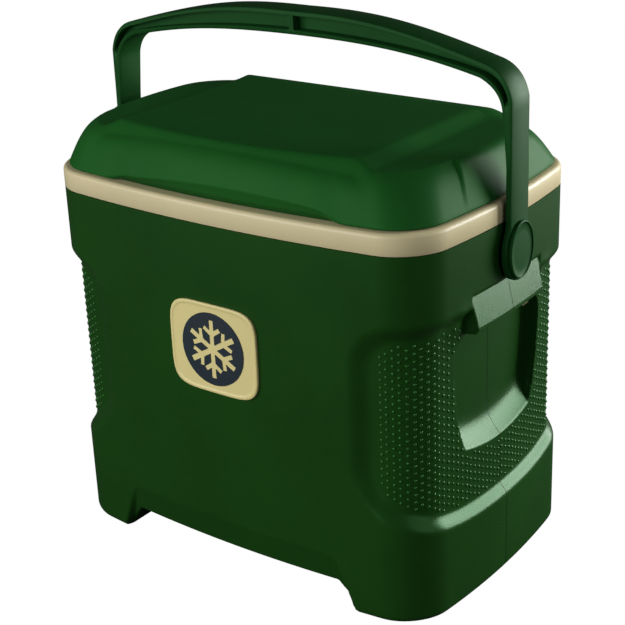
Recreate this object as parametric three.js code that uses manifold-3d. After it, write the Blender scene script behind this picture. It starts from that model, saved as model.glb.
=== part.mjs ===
// Picnic ice chest: foamed green shell, cream tub and rim, hinged lid and a bail handle on two side pivots.
// Millimetres, Z up, front towards -Y, standing on Z = 0.
import * as THREE from "three";
import { mergeVertices } from "three/addons/utils/BufferGeometryUtils.js";
import Module from "manifold-3d";

const wasm = await Module();
wasm.setup();

// ---- driving dimensions ----
const HALF_LENGTH = 215; // at the rim, middle of the ends
const FRONT = 147; // front face from the middle plane, at the rim
const REAR = 138; // rear face from the middle plane, at the rim
const CORNER_RADIUS = 38;
const END_BOW = 11; // how far each side swells in its middle
const FRONT_BOW = 15;
const REAR_BOW = 4;
const DRAFT = 0.002; // inward lean of every side per millimetre of height below the rim
const RIM_Z = 347;
const WALL = 3;
const GAP = 0.4; // clearance between neighbouring pieces
const BOTTOM_ROUND = 8;
const PIVOT_Z = 321;

const RUNNER_HEIGHT = 27; // channel under the chest, between the two runners
const CHANNEL_HALF_TOP = 119;
const CHANNEL_HALF_BOTTOM = 140;
const SKIRT_TOP = 56; // the walls between the runners step back below this height
const SKIRT_SET_BACK = 10; // how far back that step is at the ground

const RECESS_DEPTH = 8; // dotted panel let into each end
const RECESS_BOTTOM = 80;
const RECESS_FLOOR_BOTTOM = 92;
const RECESS_TOP = 287;
const POCKET_DEPTH = 22; // hand-hold
const POCKET_BOTTOM = 139;
const POCKET_FLOOR_BOTTOM = 155;
const LIP_OUT = 4; // grip lip above the hand-hold
const LIP_EDGE_Z = 266;
const LIP_UNDERSIDE = 5;
const LIP_TOP = 295;

const BAND_TOP = 366.5; // cream rim
const TUB_INSET = 37; // inner wall of the tub from the outside of the rim
const TUB_FLOOR = 48;

const LID_BOTTOM = 367.3;
const LID_SHELF_Z = 407.5;
const LID_TOP_Z = 415.5;

const HINGE_X = 110;
const HINGE_Y = REAR + 4;
const HINGE_Z = 367.8;
const KNUCKLE_RADIUS = 3.8;
const PIN_RADIUS = 1.6;
const LEAF_WIDTH = 36;
const LEAF_THICK = 2.4;
const SCREW_RADIUS = 1.2;
const SCREW_HEAD = 3;

const EAR_IN = 217.6;
const EAR_OUT = 223.6;
const EAR_HALF_WIDTH = 22;
const EAR_HALF_HEIGHT = 28;
const BAIL_HALF_WIDTH = 15.5;
const BAIL_TOP = 508;
const BAIL_UNDER = 486.5;
const PIVOT_PIN_RADIUS = 5;

const BADGE_WIDTH = 98;
const BADGE_HEIGHT = 86;
const BADGE_Z = 232;
const BADGE_THICK = 2;

// ---- materials ----
const GREEN = { color: 0x1b3e18, roughness: 0.55, metalness: 0 };
const LID_GREEN = { color: 0x21622a, roughness: 0.5, metalness: 0 };
const HANDLE_GREEN = { color: 0x164b1e, roughness: 0.45, metalness: 0 };
const CREAM = { color: 0xcfc59a, roughness: 0.4, metalness: 0 };
const NAVY = { color: 0x13242e, roughness: 0.4, metalness: 0 };
const FOAM = { color: 0xe9dfa8, roughness: 0.95, metalness: 0 };
const STEEL = { color: 0xb8babc, roughness: 0.35, metalness: 1 };
const NYLON = { color: 0x1c1c1c, roughness: 0.5, metalness: 0 };

const chest = new THREE.Group();

function addPiece(name, solid, look) {
  const mesh = new THREE.Mesh(toGeometry(solid), new THREE.MeshStandardMaterial(look));
  mesh.name = name;
  chest.add(mesh);
}

// ---- solids ----
function toSolid(geometry) {
  const bare = geometry.index ? geometry.toNonIndexed() : geometry.clone();
  bare.deleteAttribute("normal");
  bare.deleteAttribute("uv");
  const merged = mergeVertices(bare, 1e-4);
  const vertProperties = new Float32Array(merged.attributes.position.array);
  const triVerts = new Uint32Array(merged.index.array);
  return new wasm.Manifold(new wasm.Mesh({ numProp: 3, vertProperties, triVerts }));
}

function toGeometry(solid) {
  const data = solid.getMesh();
  const geometry = new THREE.BufferGeometry();
  geometry.setAttribute("position", new THREE.BufferAttribute(new Float32Array(data.vertProperties), 3));
  geometry.setIndex(new THREE.BufferAttribute(new Uint32Array(data.triVerts), 1));
  geometry.computeVertexNormals();
  return geometry;
}

function box(x0, x1, y0, y1, z0, z1) {
  const geometry = new THREE.BoxGeometry(x1 - x0, y1 - y0, z1 - z0);
  return toSolid(geometry.translate((x0 + x1) / 2, (y0 + y1) / 2, (z0 + z1) / 2));
}

// a round bar along X (halfY and halfZ may differ for an oval one)
function barX(x0, x1, y, z, halfY, halfZ = halfY, sides = 24) {
  const geometry = new THREE.CylinderGeometry(1, 1, Math.abs(x1 - x0), sides).rotateZ(Math.PI / 2);
  return toSolid(geometry.scale(1, halfY, halfZ).translate((x0 + x1) / 2, y, z));
}

function barY(y0, y1, x, z, radius, sides = 16) {
  const geometry = new THREE.CylinderGeometry(radius, radius, y1 - y0, sides);
  return toSolid(geometry.translate(x, (y0 + y1) / 2, z));
}

// a shape drawn in X and Z, made thick along Y from y0 to y1
function plateXZ(shape, y0, y1, curveSegments = 8) {
  const geometry = new THREE.ExtrudeGeometry(shape, { depth: y1 - y0, bevelEnabled: false, curveSegments });
  return toSolid(geometry.rotateX(Math.PI / 2).translate(0, y1, 0));
}

// ---- the chest's outline, as stations that every ring shares ----
const PANEL_STOP = 0.95;
const FRONT_STOPS = [-1, -PANEL_STOP, -0.83, -0.56, -0.28, 0, 0.28, 0.56, 0.83, PANEL_STOP, 1];
const POCKET_STOP = 0.65;
const END_STOPS = [-1, -0.7, -POCKET_STOP, -0.33, 0, 0.33, POCKET_STOP, 0.7, 1];
const CORNER_STEPS = 6;
const STATIONS = [];
for (let quarter = 0; quarter < 4; quarter += 1) {
  const stops = quarter % 2 === 0 ? END_STOPS : FRONT_STOPS;
  for (const stop of stops) {
    STATIONS.push({ quarter, stop, angle: 0 });
  }
  for (let step = 1; step < CORNER_STEPS; step += 1) {
    STATIONS.push({ quarter, stop: 1, angle: (step / CORNER_STEPS) * Math.PI / 2 });
  }
}

// how strongly the end recess, and the hand-hold in it, act at a station: 0 is none, 1 is full
function recessAt({ quarter, stop, angle }) {
  const onEnd = quarter % 2 === 0;
  const acts = onEnd || angle > 0 || Math.abs(stop) >= PANEL_STOP;
  return { recess: acts ? 1 : 0, pocket: onEnd && Math.abs(stop) <= POCKET_STOP ? 1 : 0 };
}

// one station's point on a ring; size holds the half length, front, rear, corner radius and height
function ringPoint(station, size) {
  const halfX = size.halfX - END_BOW;
  const front = size.front - FRONT_BOW;
  const rear = size.rear - REAR_BOW;
  const { recess, pocket } = recessAt(station);
  const cut = pocket ? (size.pocket ?? 0) : recess * (size.recess ?? 0);
  const radius = Math.max(size.radius, 3);
  const reach = [halfX - radius, rear - radius, front - radius];
  const turn = station.quarter * Math.PI / 2 + station.angle;
  const out = radius - cut;
  let x = Math.cos(turn) * out;
  let y = Math.sin(turn) * out;
  if (station.angle > 0) {
    x += station.quarter === 0 || station.quarter === 3 ? reach[0] : -reach[0];
    y += station.quarter < 2 ? reach[1] : -reach[2];
  } else if (station.quarter % 2 === 0) {
    const side = station.quarter === 0 ? 1 : -1;
    const along = station.stop * side;
    x += side * reach[0];
    y = along > 0 ? along * reach[1] : along * reach[2];
  } else {
    const side = station.quarter === 1 ? 1 : -1;
    x = -station.stop * side * reach[0];
    y += side > 0 ? reach[1] : -reach[2];
  }
  const depth = y > 0 ? rear : front;
  const bowY = y > 0 ? REAR_BOW : -FRONT_BOW;
  const swellX = END_BOW * Math.sign(x) * Math.max(0, 1 - (y / depth) ** 2);
  const swellY = bowY * Math.max(0, 1 - (x / halfX) ** 2);
  return [x + swellX, y + swellY, size.z];
}

// a closed body from rings listed bottom to top on the outside,
// or from the inner floor round to the outer floor
function loft(rings, firstFacesUp = false) {
  const count = STATIONS.length;
  const points = [];
  for (const ring of rings) {
    for (const station of STATIONS) {
      points.push(ringPoint(station, ring));
    }
  }
  points.push([0, 0, rings[0].z]);
  points.push([0, 0, rings[rings.length - 1].z]);
  const index = [];
  const face = (a, b, c) => index.push(...(firstFacesUp ? [a, c, b] : [a, b, c]));
  for (let row = 0; row < rings.length - 1; row += 1) {
    for (let i = 0; i < count; i += 1) {
      const a = row * count + i;
      const b = row * count + ((i + 1) % count);
      face(a, b, b + count);
      face(a, b + count, a + count);
    }
  }
  const last = (rings.length - 1) * count;
  for (let i = 0; i < count; i += 1) {
    const next = (i + 1) % count;
    face(rings.length * count, next, i);
    face(rings.length * count + 1, last + i, last + next);
  }
  const geometry = new THREE.BufferGeometry();
  geometry.setAttribute("position", new THREE.Float32BufferAttribute(points.flat(), 3));
  geometry.setIndex(index);
  return toSolid(geometry);
}

// a ring of the body at a height, set in by a distance from the outside face
function bodyRing(z, inset, recess = 0, pocket = 0) {
  const lean = inset + Math.max(0, RIM_Z - z) * DRAFT;
  return {
    z,
    halfX: HALF_LENGTH - lean,
    front: FRONT - lean,
    rear: REAR - lean,
    radius: CORNER_RADIUS - inset,
    recess,
    pocket,
  };
}

// the outside of the body, or its inside when the inset is a wall;
// lift keeps the wall's thickness on level faces
function bodyRings(inset, lift, top) {
  const rise = lift * 0.5;
  const lipSlope = LIP_OUT / (LIP_TOP - LIP_EDGE_Z);
  return [
    bodyRing(lift, inset + BOTTOM_ROUND),
    bodyRing(lift + BOTTOM_ROUND * 0.3, inset + BOTTOM_ROUND * 0.3),
    bodyRing(lift + BOTTOM_ROUND, inset),
    bodyRing(RECESS_BOTTOM - rise, inset),
    bodyRing(RECESS_FLOOR_BOTTOM - rise, inset, RECESS_DEPTH, RECESS_DEPTH),
    bodyRing(POCKET_BOTTOM - rise, inset, RECESS_DEPTH, RECESS_DEPTH),
    bodyRing(POCKET_FLOOR_BOTTOM - rise, inset, RECESS_DEPTH, POCKET_DEPTH),
    bodyRing(LIP_EDGE_Z - LIP_UNDERSIDE + lift, inset, RECESS_DEPTH, POCKET_DEPTH),
    bodyRing(LIP_EDGE_Z + lift, inset, RECESS_DEPTH, -LIP_OUT),
    bodyRing(RECESS_TOP + rise, inset, 0, (RECESS_TOP - LIP_TOP) * lipSlope),
    bodyRing(LIP_TOP + rise, inset),
    bodyRing(top, inset),
  ];
}

// the channel from front to back with the set-back skirts at its two ends
function channel(grow) {
  const slope = (CHANNEL_HALF_BOTTOM - CHANNEL_HALF_TOP) / SKIRT_TOP;
  function trapezium(height) {
    const half = CHANNEL_HALF_BOTTOM - height * slope + grow;
    const shape = new THREE.Shape();
    shape.moveTo(-CHANNEL_HALF_BOTTOM - grow - slope, -1);
    shape.lineTo(CHANNEL_HALF_BOTTOM + grow + slope, -1);
    shape.lineTo(half, height + grow);
    shape.lineTo(-half, height + grow);
    shape.closePath();
    return plateXZ(shape, -FRONT - 10, FRONT + 10);
  }
  const skirt = loft([
    bodyRing(-2, SKIRT_SET_BACK + grow),
    bodyRing(SKIRT_TOP, grow),
    bodyRing(SKIRT_TOP + 9, grow - 5),
  ]);
  return trapezium(RUNNER_HEIGHT).add(trapezium(SKIRT_TOP).subtract(skirt));
}

// ---- places of the hinge screws ----
const BODY_LEAF_Y = REAR + GAP;
const BODY_SCREW_Z = 344;
const LID_SCREW_Z = LID_BOTTOM + 6.2;
const SCREW_OFFSET = 11;
const LID_LEAF_Y = REAR - 4;
const screwPlaces = [];
for (const side of [-1, 1]) {
  for (const offset of [-SCREW_OFFSET, SCREW_OFFSET]) {
    const label = `${side < 0 ? "left" : "right"}_${offset < 0 ? "a" : "b"}`;
    const x = side * HINGE_X + offset;
    const bodySeat = BODY_LEAF_Y + LEAF_THICK;
    const lidSeat = LID_LEAF_Y + LEAF_THICK;
    screwPlaces.push({ name: `hinge_screw_body_${label}`, x, z: BODY_SCREW_Z, seat: bodySeat });
    screwPlaces.push({ name: `hinge_screw_lid_${label}`, x, z: LID_SCREW_Z, seat: lidSeat });
  }
}

function screwHoles() {
  const holes = screwPlaces.map(({ x, z, seat }) => barY(seat - 20, seat + 5, x, z, SCREW_RADIUS + GAP, 10));
  return holes.reduce((all, hole) => all.add(hole));
}

// ---- body ----
const inside = loft(bodyRings(WALL, WALL + 1, RIM_Z + 5)).subtract(channel(WALL));
let shell = loft(bodyRings(0, 0, RIM_Z)).subtract(inside).subtract(channel(0)).subtract(screwHoles());
const BUSH_RADIUS = 8;
for (const side of [-1, 1]) {
  shell = shell.subtract(barX(side * 200, side * 230, 0, PIVOT_Z, BUSH_RADIUS));
}
addPiece("outer_shell", shell, GREEN);

const TUB_WALL = 3;
const tubOutside = TUB_INSET - TUB_WALL;
function tubRing(z, inset) {
  const lean = inset + (BAND_TOP - z) * 0.006;
  return { ...bodyRing(RIM_Z, lean), z };
}
const linerRings = [
  tubRing(TUB_FLOOR, TUB_INSET + 8),
  tubRing(TUB_FLOOR + 3, TUB_INSET + 2),
  tubRing(TUB_FLOOR + 9, TUB_INSET),
  tubRing(BAND_TOP - 4, TUB_INSET),
  tubRing(BAND_TOP, TUB_INSET - 4),
  tubRing(BAND_TOP, 4),
  tubRing(BAND_TOP - 1.2, 1.2),
  tubRing(BAND_TOP - 4, 0),
  tubRing(RIM_Z + GAP, 0),
  tubRing(RIM_Z + GAP, WALL),
  tubRing(BAND_TOP - WALL, WALL),
  tubRing(BAND_TOP - WALL, tubOutside),
  tubRing(TUB_FLOOR + 6, tubOutside),
  tubRing(TUB_FLOOR - TUB_WALL, tubOutside + 6),
];
addPiece("tub_and_rim", loft(linerRings, true), CREAM);

// foam between the shell and the tub
const foamInset = WALL + GAP;
const tubHole = loft([
  tubRing(TUB_FLOOR - TUB_WALL - GAP, tubOutside + 6),
  tubRing(TUB_FLOOR + 6 - GAP, tubOutside - GAP),
  tubRing(BAND_TOP + 5, tubOutside - GAP),
]);
let foam = loft(bodyRings(foamInset, WALL + 1 + GAP, BAND_TOP - WALL - GAP));
foam = foam.subtract(channel(WALL + GAP)).subtract(tubHole).subtract(screwHoles());
for (const side of [-1, 1]) {
  foam = foam.subtract(barX(side * 198, side * 230, 0, PIVOT_Z, 14));
}
addPiece("body_foam", foam, FOAM);

// ---- lid ----
// the outside of the lid at a height, from rim to raised middle
function lidRing(z, halfX, front, rear, radius) {
  return { z, halfX, front, rear, radius };
}
const plateau = loft([
  lidRing(LID_SHELF_Z - 3, 152, 126, 93, 12),
  lidRing(LID_TOP_Z, 133, 119, 81, 8),
]);
const LIFT_HALF = 131; // finger lift under the lid's front edge
const LIFT_HEIGHT = 5;
const lift = box(-LIFT_HALF, LIFT_HALF, -FRONT - 5, -136, LID_BOTTOM - 6, LID_BOTTOM + LIFT_HEIGHT);
const lidCavity = loft([
  lidRing(LID_BOTTOM - 5, 199, 131, 122, 24),
  lidRing(LID_BOTTOM + 10, 198, 130, 119, 24),
  lidRing(LID_SHELF_Z - 2 * WALL, 178, 114, 70, 34),
]);
const lidDome = loft([
  lidRing(LID_BOTTOM, 210, 142, 133, 36),
  lidRing(379.5, 206.5, 139.5, 129, 38),
  lidRing(397, 197.5, 131, 101, 40),
  lidRing(LID_SHELF_Z, 186, 124, 82, 42),
]);
const lidCover = lidDome.add(plateau).subtract(lift).subtract(lidCavity).subtract(screwHoles());
addPiece("lid_cover", lidCover, LID_GREEN);

// cream pan that closes the lid and plugs the tub
const panFlange = 19;
const plugInset = TUB_INSET + 2;
const panRings = [
  tubRing(360, plugInset + 7),
  tubRing(362, plugInset + 4),
  tubRing(BAND_TOP + 4, plugInset + 3),
  tubRing(BAND_TOP + 4, panFlange),
  tubRing(BAND_TOP + 1, panFlange),
  tubRing(BAND_TOP + 1, plugInset),
  tubRing(359, plugInset),
  tubRing(357, plugInset + 4),
];
addPiece("lid_pan", loft(panRings, true), CREAM);

const lidFoam = loft([
  tubRing(360.6, plugInset + 8),
  tubRing(BAND_TOP + 4.5, plugInset + 4),
  tubRing(BAND_TOP + 4.6, panFlange + 2),
  lidRing(LID_BOTTOM + 10, 194, 126, 115, 20),
  lidRing(LID_SHELF_Z - 2 * WALL - 1, 175, 111, 67, 32),
]);
addPiece("lid_foam", lidFoam, FOAM);

// ---- hinges ----
const JOINT_HALF = 6.4; // half width of the lid's knuckle
const JOINT_GAP = 0.6;
const BODY_LEAF_LOW = 334;
const LID_LEAF_TOP = LID_BOTTOM + 10.4;
const WEB_TOP = HINGE_Z + 6.7; // strap that bridges from the lid's leaf to its knuckle
for (const side of [-1, 1]) {
  const label = side < 0 ? "left" : "right";
  const middle = side * HINGE_X;
  const half = LEAF_WIDTH / 2;
  const bore = barX(middle - 40, middle + 40, HINGE_Y, HINGE_Z, PIN_RADIUS + GAP, undefined, 16);
  const bodyLeafOut = BODY_LEAF_Y + LEAF_THICK;
  const notch = JOINT_HALF + JOINT_GAP;
  let body = box(middle - half, middle + half, BODY_LEAF_Y, bodyLeafOut, BODY_LEAF_LOW, HINGE_Z - 1);
  body = body.subtract(box(middle - notch, middle + notch, REAR, HINGE_Y + 10, HINGE_Z - 5, HINGE_Z + 5));
  for (const end of [-1, 1]) {
    const from = middle + end * notch;
    body = body.add(barX(from, middle + end * half, HINGE_Y, HINGE_Z, KNUCKLE_RADIUS));
  }
  addPiece(`hinge_body_leaf_${label}`, body.subtract(bore).subtract(screwHoles()), CREAM);

  const from = middle - JOINT_HALF;
  const to = middle + JOINT_HALF;
  const lidLeafOut = LID_LEAF_Y + LEAF_THICK;
  let lidLeaf = box(middle - half, middle + half, LID_LEAF_Y, lidLeafOut, LID_BOTTOM + 2, LID_LEAF_TOP);
  lidLeaf = lidLeaf.add(box(from, to, LID_LEAF_Y, HINGE_Y, WEB_TOP - 3, WEB_TOP));
  lidLeaf = lidLeaf.add(box(from, to, HINGE_Y - 2.6, HINGE_Y + 1, HINGE_Z, WEB_TOP));
  lidLeaf = lidLeaf.add(barX(from, to, HINGE_Y, HINGE_Z, KNUCKLE_RADIUS));
  addPiece(`hinge_lid_leaf_${label}`, lidLeaf.subtract(bore).subtract(screwHoles()), CREAM);

  const pinHalf = half + 0.5;
  const pin = barX(middle - pinHalf, middle + pinHalf, HINGE_Y, HINGE_Z, PIN_RADIUS);
  addPiece(`hinge_pin_${label}`, pin, STEEL);
}
for (const { name, x, z, seat } of screwPlaces) {
  const shank = barY(seat - 9, seat + 0.5, x, z, SCREW_RADIUS, 10);
  const head = barY(seat + GAP, seat + GAP + 1.3, x, z, SCREW_HEAD, 16);
  addPiece(name, shank.add(head), STEEL);
}

// ---- bail handle ----
// half of the arch in X and Z; the other half is its mirror image
function archShape(top, under, outer, inner, low) {
  const shape = new THREE.Shape();
  shape.moveTo(0, top);
  shape.bezierCurveTo(70, top + 1, 110, top - 3.5, 198 + outer, top - 27);
  shape.quadraticCurveTo(218 + outer, top - 33, 223 + outer, top - 56);
  if (low) {
    shape.lineTo(EAR_OUT - 1, 345);
    shape.lineTo(EAR_OUT - 1, PIVOT_Z);
    shape.lineTo(EAR_IN, PIVOT_Z);
    shape.lineTo(EAR_IN, 385);
  }
  shape.lineTo(213 + inner, under - 44);
  shape.quadraticCurveTo(211 + inner, under - 26, 191 + inner, under - 18);
  shape.bezierCurveTo(130, under - 4, 80, under, 0, under);
  shape.closePath();
  return shape;
}
function mirrored(solid) {
  return solid.mirror([1, 0, 0]);
}
const arch = plateXZ(archShape(BAIL_TOP, BAIL_UNDER, 0, 0, true), -BAIL_HALF_WIDTH, BAIL_HALF_WIDTH);
let bail = arch.add(mirrored(arch));
const grooveDepth = 9;
const groove = plateXZ(archShape(BAIL_TOP - 6, BAIL_UNDER + 4, -3, 3, false), 0, 20)
  .subtract(box(-5, 1.6, -30, 30, 400, 600));
for (const y of [-BAIL_HALF_WIDTH - 20 + grooveDepth, BAIL_HALF_WIDTH - grooveDepth]) {
  const cut = groove.translate([0, y, 0]);
  bail = bail.subtract(cut).subtract(mirrored(cut));
}
for (const side of [-1, 1]) {
  bail = bail.add(barX(side * EAR_IN, side * EAR_OUT, 0, PIVOT_Z, EAR_HALF_WIDTH, EAR_HALF_HEIGHT, 28));
}
bail = bail.subtract(barX(-300, 300, 0, PIVOT_Z, PIVOT_PIN_RADIUS + GAP));
addPiece("bail_handle", bail, HANDLE_GREEN);

// ---- pivots ----
const CAP_THICK = 3.2;
const CAP_MARGIN = 2; // ear showing round the cap
const PIN_HEAD_RADIUS = 10;
const BUSH_FLANGE_RADIUS = 13;
for (const side of [-1, 1]) {
  const label = side < 0 ? "left" : "right";
  const capFrom = side * (EAR_OUT + 0.3);
  const capTo = capFrom + side * CAP_THICK;
  const capWidth = EAR_HALF_WIDTH - CAP_MARGIN;
  const cap = barX(capFrom, capTo, 0, PIVOT_Z, capWidth, EAR_HALF_HEIGHT - CAP_MARGIN, 28);
  addPiece(`pivot_cap_${label}`, cap, HANDLE_GREEN);

  const wallOut = HALF_LENGTH - DRAFT * (RIM_Z - PIVOT_Z);
  const tube = barX(side * 208.5, side * (EAR_IN - 0.5), 0, PIVOT_Z, BUSH_RADIUS - GAP);
  const flange = barX(side * (wallOut + 0.3), side * (EAR_IN - 0.5), 0, PIVOT_Z, BUSH_FLANGE_RADIUS);
  const bushBore = barX(side * 200, side * 230, 0, PIVOT_Z, PIVOT_PIN_RADIUS + GAP);
  addPiece(`pivot_bush_${label}`, tube.add(flange).subtract(bushBore), NYLON);

  const pin = barX(side * 205, side * (EAR_OUT - 0.4), 0, PIVOT_Z, PIVOT_PIN_RADIUS);
  const pinHead = barX(side * 202, side * 208, 0, PIVOT_Z, PIN_HEAD_RADIUS);
  addPiece(`pivot_pin_${label}`, pin.add(pinHead), STEEL);
}

// ---- badge: a plaque and a disc with a snow crystal cut out, both following the front ----
function frontSkin(from, to) {
  const outer = loft([bodyRing(100, -to), bodyRing(RIM_Z, -to)]);
  return outer.subtract(loft([bodyRing(99, -from), bodyRing(RIM_Z + 1, -from)]));
}
function roundedPlate(width, height, radius, z) {
  const halfX = width / 2;
  const shape = new THREE.Shape();
  shape.moveTo(halfX, z - height / 2 + radius);
  shape.absarc(halfX - radius, z + height / 2 - radius, radius, 0, Math.PI / 2);
  shape.absarc(-halfX + radius, z + height / 2 - radius, radius, Math.PI / 2, Math.PI);
  shape.absarc(-halfX + radius, z - height / 2 + radius, radius, Math.PI, Math.PI * 1.5);
  shape.absarc(halfX - radius, z - height / 2 + radius, radius, Math.PI * 1.5, Math.PI * 2);
  return plateXZ(shape, -FRONT - 20, -100, 5);
}
const BADGE_CORNER = 16;
const badgeOutline = roundedPlate(BADGE_WIDTH, BADGE_HEIGHT, BADGE_CORNER, BADGE_Z);
addPiece("badge_plate", frontSkin(GAP, GAP + BADGE_THICK).intersect(badgeOutline), CREAM);

const DISC_RADIUS = 35;
const ARM_LENGTH = 28;
const ARM_WIDTH = 5.2;
const BRANCH_LENGTH = 11;
function strip(x0, x1, halfWidth) {
  return box(x0, x1, -FRONT - 20, -100, -halfWidth, halfWidth);
}
const branch = strip(0, BRANCH_LENGTH, ARM_WIDTH / 2.4);
const arm = strip(0, ARM_LENGTH, ARM_WIDTH / 2)
  .add(branch.rotate([0, 55, 0]).translate([14, 0, 0]))
  .add(branch.rotate([0, -55, 0]).translate([14, 0, 0]));
let crystal = arm;
for (let i = 1; i < 6; i += 1) {
  crystal = crystal.add(arm.rotate([0, i * 60, 0]));
}
crystal = crystal.rotate([0, 30, 0]).translate([0, 0, BADGE_Z]);
const emblemFrom = GAP + BADGE_THICK + 0.3;
const EMBLEM_THICK = 0.8;
const disc = barY(-FRONT - 20, -100, 0, BADGE_Z, DISC_RADIUS, 48).subtract(crystal);
addPiece("badge_emblem", frontSkin(emblemFrom, emblemFrom + EMBLEM_THICK).intersect(disc), NAVY);

export default chest;
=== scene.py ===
import math
import bmesh
import bpy
from bpy.props import FloatProperty, FloatVectorProperty, PointerProperty
from mathutils import Matrix, Vector


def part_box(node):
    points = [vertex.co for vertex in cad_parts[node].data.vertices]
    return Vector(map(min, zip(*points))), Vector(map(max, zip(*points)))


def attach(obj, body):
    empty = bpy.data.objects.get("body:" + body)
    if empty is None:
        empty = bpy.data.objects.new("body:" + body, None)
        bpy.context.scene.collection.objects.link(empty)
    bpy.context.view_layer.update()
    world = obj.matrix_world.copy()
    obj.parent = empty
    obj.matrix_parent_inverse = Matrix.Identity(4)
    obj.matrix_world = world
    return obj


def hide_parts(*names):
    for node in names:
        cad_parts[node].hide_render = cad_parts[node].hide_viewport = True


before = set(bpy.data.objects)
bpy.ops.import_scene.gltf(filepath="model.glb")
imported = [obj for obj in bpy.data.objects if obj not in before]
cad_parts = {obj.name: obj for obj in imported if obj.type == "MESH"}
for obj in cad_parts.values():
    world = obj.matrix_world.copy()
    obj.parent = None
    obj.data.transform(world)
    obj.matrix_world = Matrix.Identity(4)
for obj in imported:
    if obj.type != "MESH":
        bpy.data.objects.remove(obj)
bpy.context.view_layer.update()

bl_info = {
    "name": "Picnic ice chest",
    "version": (1, 0, 0),
    "blender": (4, 5, 0),
    "location": "3D View > Sidebar > Ice chest",
    "description": "Hard-sided ice chest with dotted end panels, hand-holds, a hinged lid and a bail handle",
    "category": "Object",
}

MM = 0.001
SHELL_LOW, SHELL_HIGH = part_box("outer_shell")
TUB_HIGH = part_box("tub_and_rim")[1]
LID_LOW, LID_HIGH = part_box("lid_cover")
BAIL_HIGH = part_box("bail_handle")[1]
CAP_LOW, CAP_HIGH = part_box("pivot_cap_right")
BADGE_LOW, BADGE_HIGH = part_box("badge_plate")


# ---- what a user would change ----
def length(name, description, default, low=0.0001, high=2.0):
    return FloatProperty(
        name=name, description=description, default=default, min=low, max=high,
        subtype="DISTANCE", unit="LENGTH", precision=4,
    )


def colour(name, description, default):
    return FloatVectorProperty(
        name=name, description=description, default=default, size=3, min=0, max=1, subtype="COLOR",
    )


class IceChestSizes(bpy.types.PropertyGroup):
    corner_radius: length("Corner radius", "Radius of the chest's upright corners", 0.038)
    end_bow: length("End bow", "How far each end swells in its middle", 0.011)
    front_bow: length("Front bow", "How far the front swells in its middle", 0.015)
    rear_bow: length("Rear bow", "How far the rear swells in its middle", 0.004)
    recess_depth: length("Recess depth", "Depth of the dotted panel let into each end", 0.008)
    pocket_depth: length("Hand-hold depth", "Depth of the hand-hold's back wall", 0.022)
    lip_out: length("Lip reach", "How far the grip lip stands out over the hand-hold", 0.004)
    skirt_top: length("Skirt height", "Height below which the walls between the feet step back", 0.056)
    skirt_back: length("Skirt set-back", "How far the skirt is set back at the ground", 0.010)
    runner_height: length("Runner height", "Height of the channel between the two feet", 0.027)
    bottom_round: length("Bottom rounding", "Radius of the feet's lower edge", 0.008)
    dot_pitch: length("Dot pitch", "Distance between neighbouring columns of dots", 0.0066)
    dot_radius: length("Dot radius", "Radius of one grip dot", 0.0015)
    plateau_half: length("Lid top half length", "Half length of the lid's raised middle", 0.131)
    finger_lift: length("Finger lift half length", "Half length of the lift under the lid's front", 0.131)
    grip_groove: length("Grip groove depth", "Depth of the channels in the handle's faces", 0.009)
    grip_rib: length("Grip rib width", "Width of the rib in the middle of the handle", 0.005)
    wall: length("Shell wall", "Thickness of the moulded shell", 0.0026)


class IceChestColours(bpy.types.PropertyGroup):
    shell: colour("Shell", "Dark green of the body", (0.0090, 0.0500, 0.0060))
    lid: colour("Lid", "Brighter green of the lid", (0.0110, 0.0900, 0.0140))
    handle: colour("Handle", "Green of the bail handle", (0.0070, 0.0520, 0.0100))
    cream: colour("Cream", "Rim band and tub", (0.640, 0.560, 0.330))
    plaque: colour("Plaque", "Tan of the front badge", (0.700, 0.610, 0.270))
    emblem: colour("Emblem", "Dark blue of the badge's emblem", (0.0070, 0.0180, 0.0280))
    steel: colour("Steel", "Zinc plated screws and pins", (0.560, 0.570, 0.580))
    foam: colour("Foam", "Insulating foam", (0.780, 0.690, 0.420))
    floor: colour("Floor", "Studio floor", (0.950, 0.950, 0.950))


class IceChestStudio(bpy.types.PropertyGroup):
    camera_place: FloatVectorProperty(
        name="Camera place", description="Where the camera stands", size=3,
        default=(0.7882, -1.0433, 0.7543), subtype="TRANSLATION", unit="LENGTH",
    )
    camera_yaw: FloatProperty(
        name="Camera yaw", description="Camera's turn about the upright axis", default=math.radians(37.09),
        subtype="ANGLE", unit="ROTATION",
    )
    camera_pitch: FloatProperty(
        name="Camera pitch", description="Camera's tilt downwards", default=math.radians(22.44),
        subtype="ANGLE", unit="ROTATION",
    )
    camera_roll: FloatProperty(
        name="Camera roll", description="Camera's turn about its own line of sight",
        default=math.radians(-2.3), subtype="ANGLE", unit="ROTATION",
    )
    camera_lens: FloatProperty(
        name="Focal length", description="In millimetres", default=84.27, min=10, max=300,
    )
    front_power: FloatProperty(
        name="Front power", description="Soft light on the front", default=52, unit="POWER",
    )
    right_power: FloatProperty(
        name="Right power", description="Soft light on the right end", default=6, unit="POWER",
    )
    rear_power: FloatProperty(
        name="Rear power", description="Light behind the right end", default=62, unit="POWER",
    )
    sky: FloatProperty(
        name="Sky", description="Strength of the even surrounding light", default=0.04, min=0, max=4,
    )
    floor_bounce: FloatProperty(
        name="Floor bounce", description="Share of light the floor sends up", default=0.06, min=0, max=1,
    )


# ---- small helpers ----
def clamp(value, low=0.0, high=1.0):
    return max(low, min(high, value))


def smooth(value):
    t = clamp(value)
    return t * t * (3 - 2 * t)


def spread(*spans):
    """Numbers from the first span's start to the last one's end; each span is (start, end, steps)."""
    values = []
    for start, end, steps in spans:
        values += [start + (end - start) * i / steps for i in range(steps)]
    return values + [spans[-1][1]]


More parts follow.
